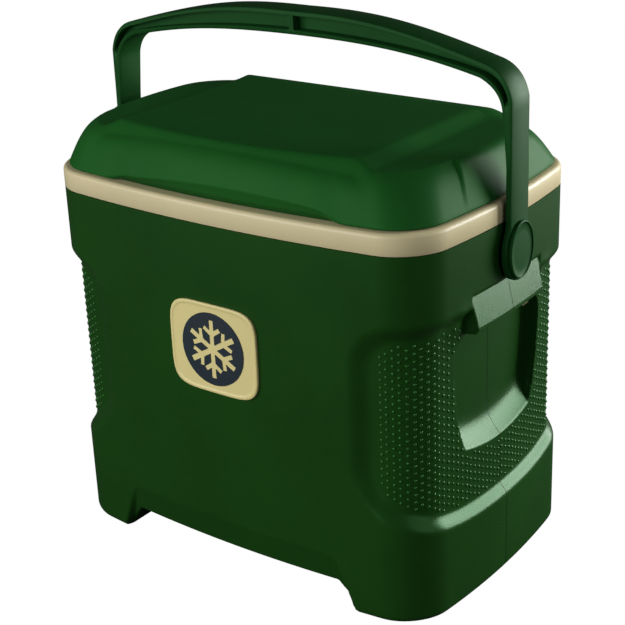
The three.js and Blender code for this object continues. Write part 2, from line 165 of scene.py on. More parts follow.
def box_distance(x, z, half_x, low, high, radius):
    """Signed distance, negative inside, from a box with rounded corners, centred on x = 0."""
    mid = (low + high) / 2
    qx = abs(x) - (half_x - radius)
    qz = abs(z - mid) - ((high - low) / 2 - radius)
    return math.hypot(max(qx, 0), max(qz, 0)) + min(max(qx, qz), 0) - radius


def make_piece(name, points, faces, material, turn_out=True):
    """A smooth-shaded mesh object at the origin; points are in millimetres."""
    mesh = bpy.data.meshes.new(name)
    mesh.from_pydata([Vector(p) * MM for p in points], [], faces)
    tidy_mesh(mesh, turn_out)
    mesh.materials.append(material)
    piece = bpy.data.objects.new(name, mesh)
    bpy.context.collection.objects.link(piece)
    return piece


def tidy_mesh(mesh, turn_out=True):
    work = bmesh.new()
    work.from_mesh(mesh)
    bmesh.ops.remove_doubles(work, verts=work.verts, dist=2e-6)
    bmesh.ops.dissolve_degenerate(work, edges=work.edges, dist=1e-7)
    if turn_out:
        bmesh.ops.recalc_face_normals(work, faces=work.faces)
    for face in work.faces:
        face.smooth = True
    work.to_mesh(mesh)
    work.free()
    mesh.update()


def stand_for(piece, body, slot, *nodes):
    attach(piece, body)
    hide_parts(*nodes)


def harden(piece, degrees):
    """Edges sharper than this stay crisp."""
    piece.data.set_sharp_from_angle(angle=math.radians(degrees))


def bake_modifiers(piece):
    """Turns the piece's modifiers into a plain mesh and removes them."""
    graph = bpy.context.evaluated_depsgraph_get()
    graph.update()
    fresh = bpy.data.meshes.new_from_object(piece.evaluated_get(graph))
    old = piece.data
    piece.modifiers.clear()
    piece.data = fresh
    fresh.name = old.name + "_done"
    return piece


def join_rings(rings, first_pole=None, last_pole=None):
    """Faces between closed rings of equally many points, with a fan to each pole given."""
    count = len(rings[0])
    points = [p for ring in rings for p in ring]
    faces = []
    for row in range(len(rings) - 1):
        for i in range(count):
            j = (i + 1) % count
            a = row * count
            faces.append((a + i, a + j, a + count + j, a + count + i))
    for pole, row in ((first_pole, 0), (last_pole, len(rings) - 1)):
        if pole is not None:
            points.append(pole)
            faces += [(row * count + i, row * count + (i + 1) % count, len(points) - 1) for i in range(count)]
    return points, faces


# ---- the chest's outline ----
class Outline:
    """Rounded, bowed rectangle walked anticlockwise from the right end; every ring shares its stations."""

    def __init__(self, sizes, end_stops, long_stops, corner_steps):
        self.bows = [getattr(sizes, bow) / MM for bow in ("end_bow", "front_bow", "rear_bow")]
        self.base = [TUB_HIGH[0] / MM, -SHELL_LOW[1] / MM, SHELL_HIGH[1] / MM, sizes.corner_radius / MM]
        self.stations = []
        for quarter in range(4):
            half = end_stops if quarter % 2 == 0 else long_stops
            stops = [-s for s in reversed(half) if s > 0] + list(half)
            self.stations += [(quarter, stop, 0.0) for stop in stops]
            turns = [k / corner_steps * math.pi / 2 for k in range(1, corner_steps)]
            self.stations += [(quarter, 1.0, turn) for turn in turns]

    def ring(self, inset=0.0, half_x=None, front=None, rear=None, radius=None):
        """A list of (x, y, outward x, outward y, run, quarter); run is the walk from the end's middle."""
        end_bow, front_bow, rear_bow = self.bows
        half_x = (self.base[0] if half_x is None else half_x) - inset - end_bow
        front = (self.base[1] if front is None else front) - inset - front_bow
        rear = (self.base[2] if rear is None else rear) - inset - rear_bow
        radius = max((self.base[3] if radius is None else radius) - inset, 3)
        found = []
        for quarter, stop, angle in self.stations:
            turn = quarter * math.pi / 2 + angle
            nx, ny = math.cos(turn), math.sin(turn)
            reach_x = half_x - radius
            if angle > 0:
                side_x = 1 if quarter in (0, 3) else -1
                side_y = 1 if quarter < 2 else -1
                x = side_x * reach_x
                y = side_y * ((rear if side_y > 0 else front) - radius)
            elif quarter % 2 == 0:
                side = 1 if quarter == 0 else -1
                x = side * reach_x
                along = stop * side
                y = along * ((rear if along > 0 else front) - radius)
            else:
                side = 1 if quarter == 1 else -1
                x = -stop * side * reach_x
                y = side * ((rear if side > 0 else front) - radius)
            depth = rear if y > 0 else front
            run = abs(y)
            near_end = angle if quarter % 2 == 0 else math.pi / 2 - angle
            if angle > 0:
                run = depth - radius + near_end * radius
            elif quarter % 2 == 1:
                run = depth - radius + math.pi / 2 * radius + reach_x - abs(x)
            x += nx * radius
            y += ny * radius
            swell_x = end_bow * math.copysign(max(0.0, 1 - (y / depth) ** 2), x)
            bow = rear_bow if y > 0 else -front_bow
            swell_y = bow * max(0.0, 1 - (x / half_x) ** 2)
            found.append((x + swell_x, y + swell_y, nx, ny, run, quarter))
        return found


def steps_for(reach, *spans):
    """Stops from 0 to 1 along one half of a side whose straight half is reach long."""
    return [value / reach for value in spread(*spans)]


# ---- shaders ----
def new_group(name, inputs, outputs):
    tree = bpy.data.node_groups.new(name, "ShaderNodeTree")
    for label, kind, default in inputs:
        socket = tree.interface.new_socket(label, in_out="INPUT", socket_type=kind)
        socket.default_value = default
    for label, kind in outputs:
        tree.interface.new_socket(label, in_out="OUTPUT", socket_type=kind)
    return tree, tree.nodes.new("NodeGroupInput"), tree.nodes.new("NodeGroupOutput")


def math_node(tree, kind, a, b=None, c=None):
    node = tree.nodes.new("ShaderNodeMath")
    node.operation = kind
    for i, value in enumerate((a, b, c)):
        if value is None:
            continue
        if isinstance(value, (int, float)):
            node.inputs[i].default_value = value
        else:
            tree.links.new(value, node.inputs[i])
    return node.outputs[0]


def noise_node(tree, coords, scale, detail=2.0, rough=0.5):
    node = tree.nodes.new("ShaderNodeTexNoise")
    tree.links.new(coords, node.inputs["Vector"])
    node.inputs["Detail"].default_value = detail
    node.inputs["Roughness"].default_value = rough
    if isinstance(scale, (int, float)):
        node.inputs["Scale"].default_value = scale
    else:
        tree.links.new(scale, node.inputs["Scale"])
    return node.outputs["Fac"]


def range_node(tree, value, low, high, to_low, to_high):
    node = tree.nodes.new("ShaderNodeMapRange")
    tree.links.new(value, node.inputs["Value"])
    for label, number in (("From Min", low), ("From Max", high), ("To Min", to_low), ("To Max", to_high)):
        if isinstance(number, (int, float)):
            node.inputs[label].default_value = number
        else:
            tree.links.new(number, node.inputs[label])
    return node.outputs["Result"]


def moulded_grain_group():
    """Pebbled mould texture: a height for bumps and a mask that is 1 on the pebbles' tops."""
    name = "Moulded grain"
    if name in bpy.data.node_groups:
        return bpy.data.node_groups[name]
    tree, given, result = new_group(
        name,
        [("Size", "NodeSocketFloat", 1000.0), ("Fineness", "NodeSocketFloat", 0.5)],
        [("Height", "NodeSocketFloat"), ("Tops", "NodeSocketFloat")],
    )
    coords = tree.nodes.new("ShaderNodeTexCoord").outputs["Object"]
    cells = tree.nodes.new("ShaderNodeTexVoronoi")
    cells.feature = "SMOOTH_F1"
    tree.links.new(coords, cells.inputs["Vector"])
    tree.links.new(given.outputs["Size"], cells.inputs["Scale"])
    fine = noise_node(tree, coords, math_node(tree, "MULTIPLY", given.outputs["Size"], 2.3), 3.0, 0.6)
    pebbles = math_node(tree, "SUBTRACT", 1.0, cells.outputs["Distance"])
    height = math_node(tree, "MULTIPLY_ADD", fine, given.outputs["Fineness"], pebbles)
    tree.links.new(height, result.inputs["Height"])
    tree.links.new(range_node(tree, height, 0.85, 1.25, 0.0, 1.0), result.inputs["Tops"])
    return tree


def handling_group():
    """Dust and handling marks: large soft patches, fine scuffs and thin scratches."""
    name = "Handling"
    if name in bpy.data.node_groups:
        return bpy.data.node_groups[name]
    tree, given, result = new_group(
        name,
        [("Patch size", "NodeSocketFloat", 9.0), ("Scuff size", "NodeSocketFloat", 60.0)],
        [("Patches", "NodeSocketFloat"), ("Scuffs", "NodeSocketFloat")],
    )
    coords = tree.nodes.new("ShaderNodeTexCoord").outputs["Object"]
    patches = noise_node(tree, coords, given.outputs["Patch size"], 4.0, 0.55)
    tree.links.new(range_node(tree, patches, 0.35, 0.68, 0.0, 1.0), result.inputs["Patches"])
    stretch = tree.nodes.new("ShaderNodeMapping")
    tree.links.new(coords, stretch.inputs["Vector"])
    stretch.inputs["Scale"].default_value = (1.0, 1.0, 5.0)
    scuffs = noise_node(tree, stretch.outputs["Vector"], given.outputs["Scuff size"], 5.0, 0.7)
    tree.links.new(range_node(tree, scuffs, 0.60, 0.74, 0.0, 1.0), result.inputs["Scuffs"])
    return tree


def put_group(tree, group, **values):
    node = tree.nodes.new("ShaderNodeGroup")
    node.node_tree = group
    for label, value in values.items():
        node.inputs[label.replace("_", " ")].default_value = value
    return node


GREEN_SHEEN = (0.40, 1.0, 0.45)
# share of the painted highlight laid on the pebbles' tops
PEBBLE_HIGHLIGHT_SHARE = 0.5
SEAM_CORE = 0.0002
SEAM_EDGE = 0.0007
SEAM_DEPTH = 3.0
# how dark the painted shade in the parting line's groove is
SEAM_PAINTED_SHADE = 0.25


PLAIN_SHEEN = (1.0, 1.0, 1.0)


def finish(
    name, base, dark, light, rough, grain, bump, specular=0.5, metal=0.0, sheen=PLAIN_SHEEN, seam=False,
):
    """A plastic, foam or metal finish.

    dark multiplies the base colour for the patches; light multiplies it on the pebbles' tops, a painted
    highlight; rough is (least, most); grain is the number of pebbles per metre; bump is the bump's height in
    metres;
    sheen tints the reflections; seam adds the mould's parting line at y = 0, with painted shade along it.
    """
    if name in bpy.data.materials:
        return bpy.data.materials[name]
    shade = tint(base, dark)
    material = bpy.data.materials.new(name)
    material.use_nodes = True
    material.diffuse_color = (*base, 1)
    tree = material.node_tree
    shader = tree.nodes["Principled BSDF"]
    pebbles = put_group(tree, moulded_grain_group(), Size=grain)
    marks = put_group(tree, handling_group())
    mix = tree.nodes.new("ShaderNodeMix")
    mix.data_type = "RGBA"
    mix.inputs["A"].default_value = (*shade, 1)
    mix.inputs["B"].default_value = (*base, 1)
    tree.links.new(marks.outputs["Patches"], mix.inputs["Factor"])
    # glint: the pebbles' tops get a lighter copy of the base colour, a painted highlight on the bumps
    glint = tree.nodes.new("ShaderNodeMix")
    glint.data_type = "RGBA"
    glint.inputs["B"].default_value = (*tint(base, light), 1)
    tree.links.new(mix.outputs["Result"], glint.inputs["A"])
    amount = math_node(tree, "MULTIPLY", pebbles.outputs["Tops"], PEBBLE_HIGHLIGHT_SHARE)
    tree.links.new(amount, glint.inputs["Factor"])
    colour_out = glint.outputs["Result"]
    height = pebbles.outputs["Height"]
    # parting line: a groove in the bump, and painted shade darkening the colour along it
    if seam:
        place = tree.nodes.new("ShaderNodeSeparateXYZ")
        coords = tree.nodes.new("ShaderNodeTexCoord")
        tree.links.new(coords.outputs["Object"], place.inputs["Vector"])
        off = math_node(tree, "ABSOLUTE", place.outputs["Y"])
        line = range_node(tree, off, SEAM_CORE, SEAM_EDGE, 1.0, 0.0)
        groove = tree.nodes.new("ShaderNodeMix")
        groove.data_type = "RGBA"
        groove.inputs["B"].default_value = tuple(c * SEAM_PAINTED_SHADE for c in shade) + (1,)
        tree.links.new(colour_out, groove.inputs["A"])
        tree.links.new(line, groove.inputs["Factor"])
        colour_out = groove.outputs["Result"]
        height = math_node(tree, "MULTIPLY_ADD", line, -SEAM_DEPTH, height)
    tree.links.new(colour_out, shader.inputs["Base Color"])
    least, most = rough
    worn = math_node(tree, "MULTIPLY_ADD", marks.outputs["Scuffs"], 0.12, pebbles.outputs["Tops"])
    tree.links.new(range_node(tree, worn, 0.0, 1.1, most, least), shader.inputs["Roughness"])
    lift = tree.nodes.new("ShaderNodeBump")
    lift.inputs["Distance"].default_value = bump
    lift.inputs["Strength"].default_value = 1.0
    tree.links.new(height, lift.inputs["Height"])
    tree.links.new(lift.outputs["Normal"], shader.inputs["Normal"])
    shader.inputs["Metallic"].default_value = metal
    shader.inputs["Specular IOR Level"].default_value = specular
    shader.inputs["Specular Tint"].default_value = (*sheen, 1)
    return material


def tint(value, factor):
    return tuple(clamp(c * factor) for c in value)


def chosen(name):
    """One of the colours that a user can change."""
    return tuple(getattr(bpy.context.scene.ice_chest_colours, name))


def shell_green():
    rough, grain, bump, specular = (0.22, 0.32), 950.0, 0.00004, 0.3
    base = chosen("shell")
    return finish("shell green", base, 0.82, 1.5, rough, grain, bump, specular, 0.0, GREEN_SHEEN, True)


def lit_dot_green():
    rough, grain, bump, specular = (0.2, 0.3), 950.0, 0.00001, 0.6
    # The dots are the shell's own plastic; their base is the shell green made 1.7 times lighter, a painted
    # highlight for their lit tops.
    base = tint(chosen("shell"), 1.7)
    return finish("dot green", base, 0.9, 1.3, rough, grain, bump, specular, 0.0, GREEN_SHEEN)


def lid_green():
    rough, grain, bump, specular = (0.36, 0.50), 1500.0, 0.00005, 0.1
    return finish("lid green", chosen("lid"), 0.86, 1.25, rough, grain, bump, specular, 0.0, GREEN_SHEEN)


def handle_green():
    rough, grain, bump, specular = (0.34, 0.46), 1700.0, 0.00004, 0.12
    base = chosen("handle")
    return finish("handle green", base, 0.85, 1.25, rough, grain, bump, specular, 0.0, GREEN_SHEEN)


def cream_plastic():
    return finish("cream plastic", chosen("cream"), 0.93, 1.12, (0.26, 0.42), 1300.0, 0.00007)


def plaque_tan():
    return finish("plaque tan", chosen("plaque"), 0.95, 1.05, (0.3, 0.42), 1500.0, 0.00002)


def emblem_blue():
    return finish("emblem blue", chosen("emblem"), 0.85, 1.2, (0.34, 0.46), 1500.0, 0.00002)


def zinc_steel():
    return finish("zinc steel", chosen("steel"), 0.8, 1.15, (0.28, 0.45), 2200.0, 0.00002, metal=1.0)


def rigid_foam():
    return finish("rigid foam", chosen("foam"), 0.85, 1.1, (0.85, 0.98), 600.0, 0.0004, 0.2)


def black_nylon():
    return finish("black nylon", (0.012, 0.012, 0.012), 0.8, 1.8, (0.38, 0.55), 1400.0, 0.00006)


# ---- body ----
END_REACH = 98  # straight half of an end
LONG_REACH = 166  # straight half of the front and the rear
END_SPANS = ((0, 46, 11), (46, 86, 34), (86, 98, 4))
LONG_SPANS = ((0, 106, 11), (106, 144, 18), (144, 166, 10))
CORNER_STEPS = 18
LIP_EDGE = 266
LIP_TOP = 295
LIP_HALF = 57
LIP_FADE = 4
LIP_START = 3.0  # how far the lip's top edge is set into the wall
LIP_BLEND = 1.2
SILL_RISE = 27
POCKET_CORNER = 30
BULGE_RUN = 72  # soft swelling that joins the lip's ends to the hand-hold's upper corners
BULGE_Z = 272
BULGE_OUT = 2.2
FOAM_INSET = 4.2
POCKET_TOP = 262
POCKET_HALF = 56
POCKET_WIDENING = 22
RECESS_HALF = 182
RECESS_TOP = 287
FOOT_TOP_HALF = 119
FOOT_GROUND_HALF = 140


def sill_height(run):
    """Lower edge of the hand-hold, which curves like a smile."""
    return 140 + 7.5 * (run / POCKET_HALF) ** 2


def ledge_height(run):
    """Lower edge of the dotted panel, which curves up towards the corners."""
    return 79 + 20 * (min(run, 170) / 150) ** 2.4


def panel_inside(run, z):
    """How far inside the dotted panel's outline a place is: 0 at the edge, 1 where its floor begins."""
    lower = ledge_height(run)
    off = -box_distance(run, z, RECESS_HALF, lower, RECESS_TOP, min(44, (RECESS_TOP - lower) / 2 - 1))
    width = 13 + 6 * smooth((run - 60) / 90)
    return off / width


def pocket_inside(run, z):
    """Distance in from the hand-hold's outline, in millimetres."""
    half = POCKET_HALF + POCKET_WIDENING * (1 - math.exp(-max(0.0, z - 145) / 45))
    return -box_distance(run, z, half, -200, POCKET_TOP, POCKET_CORNER)


def end_cut(run, z, sizes):
    """Depth of the end's surface below the plain outline, in millimetres; the lip is below zero."""
    recess, pocket, lip = sizes.recess_depth / MM, sizes.pocket_depth / MM, sizes.lip_out / MM
    cut = recess * smooth(panel_inside(run, z))
    near_lip = 1 - smooth((run - LIP_HALF) / LIP_FADE)
    if LIP_EDGE - 3 < z < LIP_TOP:
        share = clamp((LIP_TOP - z) / (LIP_TOP - LIP_EDGE))
        lip_cut = LIP_START * min(1.0, (LIP_TOP - z) / LIP_BLEND) - (lip + LIP_START) * share
        cut = cut + (lip_cut - cut) * near_lip
    elif POCKET_TOP - 2 < z <= LIP_EDGE - 3:
        cut = cut + (-lip + 2 - cut) * near_lip
    cut -= BULGE_OUT * math.exp(-((run - BULGE_RUN) / 10) ** 2 - ((z - BULGE_Z) / 14) ** 2)
    inside = pocket_inside(run, z)
    if inside > 0:
        wall = smooth(inside / 4)
        rise = clamp((z - sill_height(run)) / SILL_RISE)
        cut += (pocket - cut) * min(wall, 1 - (1 - rise) ** 2)
    return cut


def foot_edge(x):
    """Height of the body's lower edge: the ground under the feet, the channel's height between them."""
    height = bpy.context.scene.ice_chest_sizes.runner_height / MM
    return height * clamp((FOOT_GROUND_HALF - abs(x)) / (FOOT_GROUND_HALF - FOOT_TOP_HALF - 1))


def skirt_cut(x, z, sizes):
    """Set-back of the walls between the feet."""
    top = sizes.skirt_top / MM
    if z >= top:
        return 0.0
    half = FOOT_GROUND_HALF - (FOOT_GROUND_HALF - FOOT_TOP_HALF) * z / top + 1.5
    round_top = box_distance(x, z, half, -60, top, 9)
    return sizes.skirt_back / MM * (top - z) / top * smooth(-round_top / 3.5)


def body_rings(sizes, outline, heights, inset=0.0, lift=0.0):
    """Rings of the body's surface from the middle of its underside up, set in and lifted by given amounts."""
    edge_round = sizes.bottom_round / MM
    blend_from = 75.0
    rings = []
    for z in heights:
        ring = []
        for x, y, nx, ny, run, quarter in outline.ring():
            edge = foot_edge(x) if quarter % 2 == 1 else 0.0
            level = z if z >= blend_from else edge + z * (blend_from - edge) / blend_from
            soft = edge_round - (edge_round - 2.5) * clamp(edge / 20)
            over = max(0.0, soft - (level - edge))
            cut = inset + soft - math.sqrt(max(0.0, soft * soft - over * over))
            cut += end_cut(run, level, sizes) if run < RECESS_HALF + 2 else 0.0
            cut += skirt_cut(x, level, sizes) if quarter % 2 == 1 else 0.0
            ring.append((x - nx * cut, y - ny * cut, level + lift * clamp((blend_from - z) / blend_from)))
        rings.append(ring)
    under = []
    for keep in (0.0, 0.25, 0.5, 0.7, 0.85, 0.94, 0.98):
        under.append([(x, y * keep, z) for x, y, z in rings[0]])
    return under + rings


class ICECHEST_OT_shell(bpy.types.Operator):
    """Green body with its feet, dotted end panels, hand-holds and grip lips"""
    bl_idname = "icechest.shell"
    bl_label = "Body shell"

    def execute(self, context):
        sizes = context.scene.ice_chest_sizes
        end_stops = steps_for(END_REACH, *END_SPANS)
        outline = Outline(sizes, end_stops, steps_for(LONG_REACH, *LONG_SPANS), CORNER_STEPS)
        heights = spread(
            (0, 1, 4), (1, 8, 7), (8, 30, 6), (30, 58, 12), (58, 76, 6), (76, 124, 22), (124, 136, 4),
            (136, 162, 20), (162, 246, 16), (246, 260, 11), (260, 267, 16), (267, 298, 18),
            (298, SHELL_HIGH[2] / MM, 8),
        )
        points, faces = join_rings(body_rings(sizes, outline, heights))
        shell = make_piece("body_shell", points, faces, shell_green())
        thick = shell.modifiers.new("wall", "SOLIDIFY")
        thick.thickness = sizes.wall
        thick.offset = -1
        bake_modifiers(shell)
        harden(shell, 40)
        stand_for(shell, "chest", "shell_green", "outer_shell")
        return {"FINISHED"}


class ICECHEST_OT_foam(bpy.types.Operator):
    """Insulating foam between the shell and the tub"""
    bl_idname = "icechest.foam"
    bl_label = "Body foam"

    def execute(self, context):
        sizes = context.scene.ice_chest_sizes
        outline = Outline(sizes, steps_for(END_REACH, (0, 98, 24)), steps_for(LONG_REACH, (0, 166, 24)), 8)
        top = SHELL_HIGH[2] / MM
        heights = spread(
            (0, 8, 3), (8, 58, 6), (58, 76, 3), (76, 170, 20), (170, 255, 8), (255, 300, 18), (300, top, 4),
        )
        outside = body_rings(sizes, outline, heights, FOAM_INSET, FOAM_INSET)
        low = 41
        tub_side = []
        for z, inset in ((top, 31), (100, 31), (48, 40), (low, 48)):
            tub_side.append([(p[0], p[1], z) for p in outline.ring(inset)])
        points, faces = join_rings(outside + tub_side, None, (0, 0, low))
        foam = make_piece("insulation", points, faces, rigid_foam())
        stand_for(foam, "chest", "foam", "body_foam")
        return {"FINISHED"}


# ---- things set on many places by one rule ----
def repeat_tree():
    """Sets a small master shape on every point of a mesh, turned to each point's "facing"."""
    name = "Set on points"
    if name in bpy.data.node_groups:
        return bpy.data.node_groups[name]
    tree = bpy.data.node_groups.new(name, "GeometryNodeTree")
    face = tree.interface
    face.new_socket("Geometry", in_out="INPUT", socket_type="NodeSocketGeometry")
    face.new_socket("Master", in_out="INPUT", socket_type="NodeSocketObject")
    scale = face.new_socket("Size", in_out="INPUT", socket_type="NodeSocketFloat")
    scale.default_value = 0.001
    vary = face.new_socket("Variation", in_out="INPUT", socket_type="NodeSocketFloat")
    vary.default_value = 0.05
    face.new_socket("Finish", in_out="INPUT", socket_type="NodeSocketMaterial")
    face.new_socket("Geometry", in_out="OUTPUT", socket_type="NodeSocketGeometry")
    nodes, links = tree.nodes, tree.links
    given, result = nodes.new("NodeGroupInput"), nodes.new("NodeGroupOutput")
    points = nodes.new("GeometryNodeMeshToPoints")
    links.new(given.outputs["Geometry"], points.inputs["Mesh"])
    facing = nodes.new("GeometryNodeInputNamedAttribute")
    facing.data_type = "FLOAT_VECTOR"
    facing.inputs["Name"].default_value = "facing"
    turn = nodes.new("FunctionNodeAlignRotationToVector")
    turn.axis = "Z"
    links.new(facing.outputs["Attribute"], turn.inputs["Vector"])
    info = nodes.new("GeometryNodeObjectInfo")
    links.new(given.outputs["Master"], info.inputs["Object"])
    chance = nodes.new("FunctionNodeRandomValue")
    chance.inputs["Seed"].default_value = 7
    low, high = chance.inputs[2], chance.inputs[3]
    less, more = nodes.new("ShaderNodeMath"), nodes.new("ShaderNodeMath")
    less.operation, more.operation = "SUBTRACT", "ADD"
    for node in (less, more):
        node.inputs[0].default_value = 1.0
        links.new(given.outputs["Variation"], node.inputs[1])
    links.new(less.outputs[0], low)
    links.new(more.outputs[0], high)
    size = nodes.new("ShaderNodeMath")
    size.operation = "MULTIPLY"
    links.new(given.outputs["Size"], size.inputs[0])
    links.new(chance.outputs[1], size.inputs[1])
    place = nodes.new("GeometryNodeInstanceOnPoints")
    links.new(points.outputs["Points"], place.inputs["Points"])
    links.new(info.outputs["Geometry"], place.inputs["Instance"])
    links.new(turn.outputs["Rotation"], place.inputs["Rotation"])
    links.new(size.outputs[0], place.inputs["Scale"])
    real = nodes.new("GeometryNodeRealizeInstances")
    links.new(place.outputs["Instances"], real.inputs["Geometry"])
    paint = nodes.new("GeometryNodeSetMaterial")
    links.new(real.outputs["Geometry"], paint.inputs["Geometry"])
    links.new(given.outputs["Finish"], paint.inputs["Material"])
    links.new(paint.outputs["Geometry"], result.inputs["Geometry"])
    return tree


def set_on_points(name, places, master_points, master_faces, size, material, variation=0.0):
    """One mesh of the master shape on every (place, facing); places in millimetres."""
    mesh = bpy.data.meshes.new(name)
    mesh.from_pydata([Vector(place) * MM for place, facing in places], [], [])
    store = mesh.attributes.new("facing", "FLOAT_VECTOR", "POINT")
    store.data.foreach_set("vector", [c for place, facing in places for c in facing])
    mesh.materials.append(material)
    piece = bpy.data.objects.new(name, mesh)
    bpy.context.collection.objects.link(piece)
    master_mesh = bpy.data.meshes.new(name + "_master")
    master_mesh.from_pydata(master_points, [], master_faces)
    tidy_mesh(master_mesh)
    master = bpy.data.objects.new(name + "_master", master_mesh)
    bpy.context.collection.objects.link(master)
    setter = piece.modifiers.new("set", "NODES")
    tree = repeat_tree()
    setter.node_group = tree
    sockets = {s.name: s.identifier for s in tree.interface.items_tree if s.in_out == "INPUT"}
    setter[sockets["Master"]] = master
    setter[sockets["Size"]] = size
    setter[sockets["Variation"]] = variation
    setter[sockets["Finish"]] = material
    bake_modifiers(piece)
    bpy.data.objects.remove(master)
    for polygon in piece.data.polygons:
        polygon.use_smooth = True
    return piece


def dome(sides=8, rows=3, flat=0.6, sink=0.35):
    """Points and faces of a small closed dome of radius 1 along Z, sunk a little below its place."""
    rings = []
    for row in range(rows):
        angle = row / rows * math.pi / 2
        across, up = math.cos(angle), math.sin(angle) * flat
        turns = [2 * math.pi * i / sides for i in range(sides)]
        rings.append([(across * math.cos(t), across * math.sin(t), up) for t in turns])
    foot = [(x, y, -sink) for x, y, z in rings[0]]
    return join_rings([foot] + rings, (0, 0, -sink), (0, 0, flat))


DOTS_LOW = 84
DOT_ROWS = 30


class ICECHEST_OT_dots(bpy.types.Operator):
    """Raised grip dots on the floor of both end panels"""
    bl_idname = "icechest.dots"
    bl_label = "Grip dots"

    def execute(self, context):
        sizes = context.scene.ice_chest_sizes
        end_stops = steps_for(END_REACH, (0, END_REACH, END_REACH))
        long_stops = steps_for(LONG_REACH, (0, LONG_REACH, LONG_REACH))
        base = Outline(sizes, end_stops, long_stops, 60).ring()
        pitch = sizes.dot_pitch / MM
        rise = pitch * 1.06
        places = []
        for side in (1, -1):
            for flank in (1, -1):
                walk = sorted(
                    (p for p in base if p[0] * side > 0 and p[1] * flank >= 0), key=lambda p: p[4],
                )
                for column in range(int(RECESS_HALF / pitch)):
                    run = (column + 0.5) * pitch
                    if run > walk[-1][4]:
                        continue
                    x, y, nx, ny, at, quarter = min(walk, key=lambda p: abs(p[4] - run))
                    first = DOTS_LOW + (rise / 2 if column % 2 else 0)
                    for row in range(DOT_ROWS):
                        z = first + row * rise
                        off_panel = panel_inside(run, z) < 1.12
                        by_pocket = pocket_inside(run, z) > -2.5 and z > sill_height(run) - 4
                        by_lip = z > LIP_EDGE - 8 and run < LIP_HALF + LIP_FADE + 2
                        if off_panel or by_pocket or by_lip:
                            continue
                        cut = end_cut(run, z, sizes)
                        places.append(((x - nx * cut, y - ny * cut, z), (nx, ny, 0.0)))
        points, faces = dome()
        dots = set_on_points("grip_dots", places, points, faces, sizes.dot_radius, lit_dot_green(), 0.06)
        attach(dots, "chest")
        return {"FINISHED"}


# ---- rim band and tub ----
class ICECHEST_OT_tub(bpy.types.Operator):
    """Cream rim band in one piece with the tub inside it"""
    bl_idname = "icechest.tub"
    bl_label = "Rim band and tub"

    def execute(self, context):
        sizes = context.scene.ice_chest_sizes
        outline = Outline(sizes, steps_for(END_REACH, (0, 98, 22)), steps_for(LONG_REACH, (0, 166, 30)), 14)
        top, band_low, floor = TUB_HIGH[2] / MM, 347.4, 48.0
        profile = [(band_low, 3.0), (band_low, 0.6), (band_low + 0.6, 0.0), (top - 4.0, 0.0)]
        profile += [(top - 4 + 4 * math.sin(t), 4 - 4 * math.cos(t)) for t in spread((0.2, math.pi / 2, 7))]
        profile += [(top, 12), (top, 31)]
        profile += [(top - 5 + 5 * math.cos(t), 32 + 5 * math.sin(t)) for t in spread((0.1, math.pi / 2, 6))]
        profile += [(300, 37.4), (200, 38), (100, 38.6), (floor + 16, 39)]
        curve = 16
        for t in spread((0.2, math.pi / 2, 8)):
            profile.append((floor + curve - curve * math.sin(t), 39 + curve - curve * math.cos(t)))
        inner = [(floor - 3, 46), (floor + 6, 36), (100, 35), (300, 34.4), (top - 3, 34), (top - 3, 3)]
        rings = []
        for z, inset in profile:
            rings.append([(p[0], p[1], z) for p in outline.ring(inset)])
        for keep in (0.75, 0.45, 0.15):
            rings.append([(x * keep, y * keep, floor) for x, y, z in rings[len(profile) - 1]])
        hidden = []
        for z, inset in inner:
            hidden.append([(p[0], p[1], z) for p in outline.ring(inset)])
        points, faces = join_rings(rings, None, (0, 0, floor))
        under, under_faces = join_rings(hidden + [rings[0]], (0, 0, floor - 3), None)
        shift = len(points)
        points += under
        faces += [tuple(i + shift for i in face) for face in under_faces]
        piece = make_piece("rim_and_tub", points, faces, cream_plastic())
        harden(piece, 50)
        stand_for(piece, "chest", "cream", "tub_and_rim")
        return {"FINISHED"}


# ---- lid ----
SHELF_DROP = 8.0
RIDGE_FRONT = 119.0
RIDGE_BOW = 15.0
RIDGE_REAR = 81.0
LIFT_RISE = 4.6
LIFT_SET_BACK = 3.2
CREASE_RISE = 8.5


def soft_min(a, b, width):
    h = clamp(0.5 + 0.5 * (b - a) / width)
    return b + (a - b) * h - width * h * (1 - h)


def soft_max(a, b, width):
    return -soft_min(-a, -b, width)


def lid_height(x, y, sizes):
    """Height of the lid's outside over a place, in millimetres above the ground."""
    top = LID_HIGH[2] / MM
    shelf = top - SHELF_DROP
    half = sizes.plateau_half / MM
    bow = RIDGE_BOW * max(0.0, 1 - (x / (half + 3)) ** 2) if abs(x) < half + 3 else 0.0
    ridge = RIDGE_FRONT - RIDGE_BOW + bow
    front_slope = shelf + 7.8 - (-y - ridge) * 1.05
    rear_slope = top - (y - RIDGE_REAR) * 0.56
    ends = shelf + SHELF_DROP * clamp((half + 17 - abs(x)) / 17)
    plateau = soft_min(soft_min(ends, top, 1.2), soft_min(front_slope, rear_slope, 3), 3)
    # the dome under it
    front = 131.0 + 13.0 * max(0.0, 1 - (x / 200) ** 2)
    over_front = shelf - 4.0 - max(0.0, -y - front + 17) * 1.35
    over_rear = shelf - max(0.0, y - 81) * 0.55
    over_end = shelf - max(0.0, abs(x) - 178) ** 1.5 * 0.19 - 5.0 * (max(0.0, abs(x) - 140) / 60) ** 2
    round_front = shelf - 0.2 * max(0.0, -y - 84) - 4.0 * smooth((-y - 96) / 22)
    dome_top = soft_min(soft_min(over_front + 8, over_rear, 6), soft_min(over_end, round_front, 4), 8)
    return soft_max(plateau, dome_top, 2.5)


